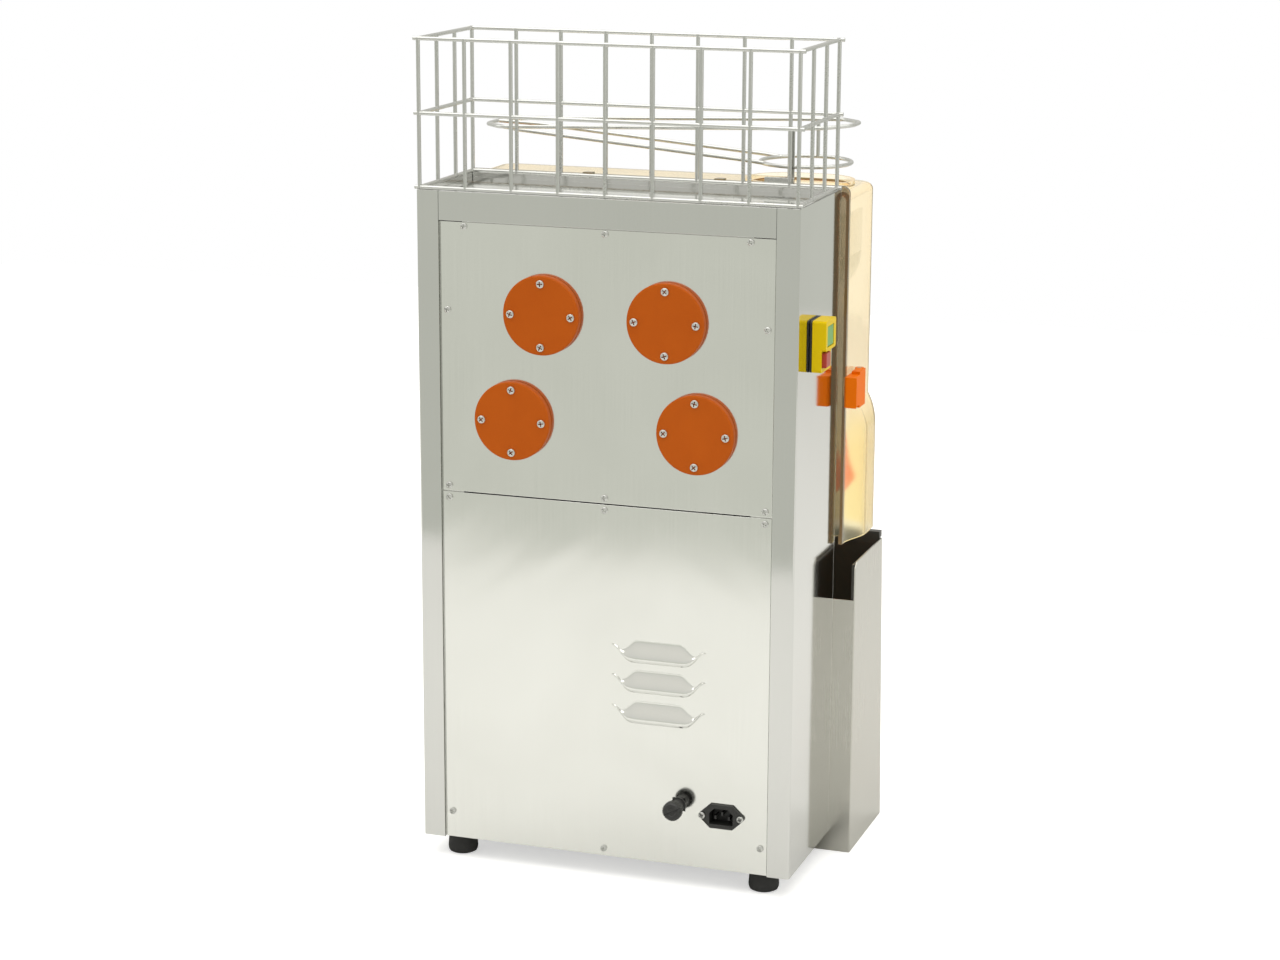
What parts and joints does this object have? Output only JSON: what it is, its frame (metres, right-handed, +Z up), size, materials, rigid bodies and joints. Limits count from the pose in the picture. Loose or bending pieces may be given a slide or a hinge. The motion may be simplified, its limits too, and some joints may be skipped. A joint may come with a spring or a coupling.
{
  "type": "orange juicer",
  "caption": "Automatic orange juicer: steel body, wire feed basket and ramp, amber cover over cup and ball drums, side peel bins and a juice tap.",
  "frame": {"origin": "centre of the footprint, on the surface it stands on", "axes": "+Z up, -Y towards the user at the front, +X to the right of a user standing in front"},
  "size_m": [0.437, 0.3026, 0.8413],
  "materials": {
    "brushed_steel": "satin",
    "mirror_steel": "polished",
    "gear_steel": "machined",
    "wire_steel": "drawn wire",
    "cast_alloy": "as cast",
    "motor_paint": "satin",
    "orange_plastic": "satin",
    "orange_gloss": "glossy",
    "amber_plastic": "glossy, see-through",
    "white_plastic": "satin",
    "black_plastic": "fine texture",
    "rubber": "matt",
    "yellow_plastic": "satin",
    "green_plastic": "glossy",
    "red_plastic": "glossy"
  },
  "bodies": {
    "machine": {"side_panel_left": "mirror_steel", "side_panel_right": "mirror_steel", "top_panel": "mirror_steel", "base_plate": "brushed_steel", "foot_front_left": "rubber", "foot_rear_left": "rubber", "foot_front_right": "rubber", "foot_rear_right": "rubber", "front_plate": "brushed_steel", "rear_panel_upper": "brushed_steel", "rear_panel_lower": "brushed_steel", "power_inlet": "black_plastic", "fuse_holder": "black_plastic", "shaft_cover_upper_left": "orange_plastic", "shaft_cover_upper_right": "orange_plastic", "shaft_cover_lower_left": "orange_plastic", "shaft_cover_lower_right": "orange_plastic", "bearing_plate": "gear_steel", "gearbox": "cast_alloy", "motor": "motor_paint", "knife_blade": "mirror_steel", "knife_holder": "orange_gloss", "peel_ejector_left": "orange_gloss", "peel_ejector_right": "orange_gloss", "switch_base": "black_plastic", "switch_housing": "yellow_plastic"},
    "upper_right_drive": {"cup_drum_right": "white_plastic", "gear_cluster_right": "gear_steel", "shaft_upper_right": "gear_steel", "hand_nut_upper_right": "black_plastic"},
    "upper_left_drive": {"cup_drum_left": "white_plastic", "gear_cluster_left": "gear_steel", "shaft_upper_left": "gear_steel", "hand_nut_upper_left": "black_plastic"},
    "lower_right_drive": {"ball_drum_right": "orange_gloss", "gear_lower_right": "gear_steel", "shaft_lower_right": "gear_steel", "hand_nut_lower_right": "black_plastic"},
    "lower_left_drive": {"ball_drum_left": "orange_gloss", "gear_lower_left": "gear_steel", "shaft_lower_left": "gear_steel", "hand_nut_lower_left": "black_plastic"},
    "pinion": {"drive_pinion": "gear_steel"},
    "front_cover": {"cover": "amber_plastic"},
    "left_latch": {"latch_left": "orange_gloss"},
    "right_latch": {"latch_right": "orange_gloss"},
    "left_bin": {"bin_left": "brushed_steel", "bin_liner_left": "black_plastic"},
    "right_bin": {"bin_right": "brushed_steel", "bin_liner_right": "black_plastic"},
    "basket": {"wire_basket": "wire_steel"},
    "ramp": {"feed_ramp": "wire_steel"},
    "tray": {"juice_tray": "orange_gloss", "strainer": "brushed_steel"},
    "tap": {"valve_handle": "black_plastic"},
    "drip": {"drip_tray": "brushed_steel"},
    "grid": {"drip_grid": "brushed_steel"},
    "start": {"start_button": "green_plastic"},
    "stop": {"stop_button": "red_plastic"},
    "fuse_knob": {"fuse_cap": "black_plastic"}
  },
  "joints": [
    {"name": "upper_right_spin", "type": "hinge", "parent": "machine", "child": "upper_right_drive", "pos_m": [0.064, -0.0733, 0.575], "axis": [0, 1, 0], "continuous": true},
    {"name": "upper_left_spin", "type": "hinge", "parent": "machine", "child": "upper_left_drive", "pos_m": [-0.064, -0.0733, 0.575], "axis": [0, 1, 0], "continuous": true},
    {"name": "lower_right_spin", "type": "hinge", "parent": "machine", "child": "lower_right_drive", "pos_m": [0.095, -0.0733, 0.46738], "axis": [0, 1, 0], "continuous": true},
    {"name": "lower_left_spin", "type": "hinge", "parent": "machine", "child": "lower_left_drive", "pos_m": [-0.095, -0.0733, 0.46738], "axis": [0, 1, 0], "continuous": true},
    {"name": "pinion_spin", "type": "hinge", "parent": "machine", "child": "pinion", "pos_m": [-0.035, -0.0733, 0.40859], "axis": [0, 1, 0], "continuous": true},
    {"name": "cover_pull_off", "type": "slide", "parent": "machine", "child": "front_cover", "axis": [0, -1, 0], "range_m": [0, 0.12]},
    {"name": "left_latch_swing", "type": "hinge", "parent": "front_cover", "child": "left_latch", "pos_m": [-0.2083, -0.0583, 0.4885], "axis": [0, 0, 1], "range_deg": [0, 60]},
    {"name": "right_latch_swing", "type": "hinge", "parent": "front_cover", "child": "right_latch", "pos_m": [0.2083, -0.0583, 0.4885], "axis": [0, 0, -1], "range_deg": [0, 60]},
    {"name": "left_bin_pull_out", "type": "slide", "parent": "machine", "child": "left_bin", "axis": [0, -1, 0], "range_m": [0, 0.15]},
    {"name": "right_bin_pull_out", "type": "slide", "parent": "machine", "child": "right_bin", "axis": [0, -1, 0], "range_m": [0, 0.15]},
    {"name": "basket_lift_off", "type": "slide", "parent": "machine", "child": "basket", "axis": [0, 0, 1], "range_m": [0, 0.12]},
    {"name": "ramp_lift_off", "type": "slide", "parent": "machine", "child": "ramp", "axis": [0, 0, 1], "range_m": [0, 0.1]},
    {"name": "juice_tray_pull_out", "type": "slide", "parent": "machine", "child": "tray", "axis": [0, -1, 0], "range_m": [0, 0.1]},
    {"name": "tap_turn", "type": "hinge", "parent": "tray", "child": "tap", "pos_m": [0, -0.1313, 0.312], "axis": [0, 1, 0], "range_deg": [0, 90]},
    {"name": "drip_tray_pull_out", "type": "slide", "parent": "machine", "child": "drip", "axis": [0, -1, 0], "range_m": [0, 0.12]},
    {"name": "drip_grid_lift_out", "type": "slide", "parent": "drip", "child": "grid", "axis": [0, 0, 1], "range_m": [0, 0.05]},
    {"name": "start_press", "type": "slide", "parent": "machine", "child": "start", "axis": [1, 0, 0], "range_m": [0, 0.003], "stiffness_N_per_m": 600},
    {"name": "stop_press", "type": "slide", "parent": "machine", "child": "stop", "axis": [1, 0, 0], "range_m": [0, 0.003], "stiffness_N_per_m": 600},
    {"name": "fuse_cap_turn", "type": "hinge", "parent": "machine", "child": "fuse_knob", "pos_m": [-0.0797, 0.1457, 0.0865], "axis": [0, 1, 0], "range_deg": [0, 90]}
  ],
  "couplings": [
    {"joint": "upper_left_spin", "follows": "upper_right_spin", "ratio": -1},
    {"joint": "lower_right_spin", "follows": "upper_right_spin", "ratio": -1},
    {"joint": "lower_left_spin", "follows": "upper_right_spin", "ratio": 1},
    {"joint": "pinion_spin", "follows": "upper_right_spin", "ratio": -2}
  ]
}
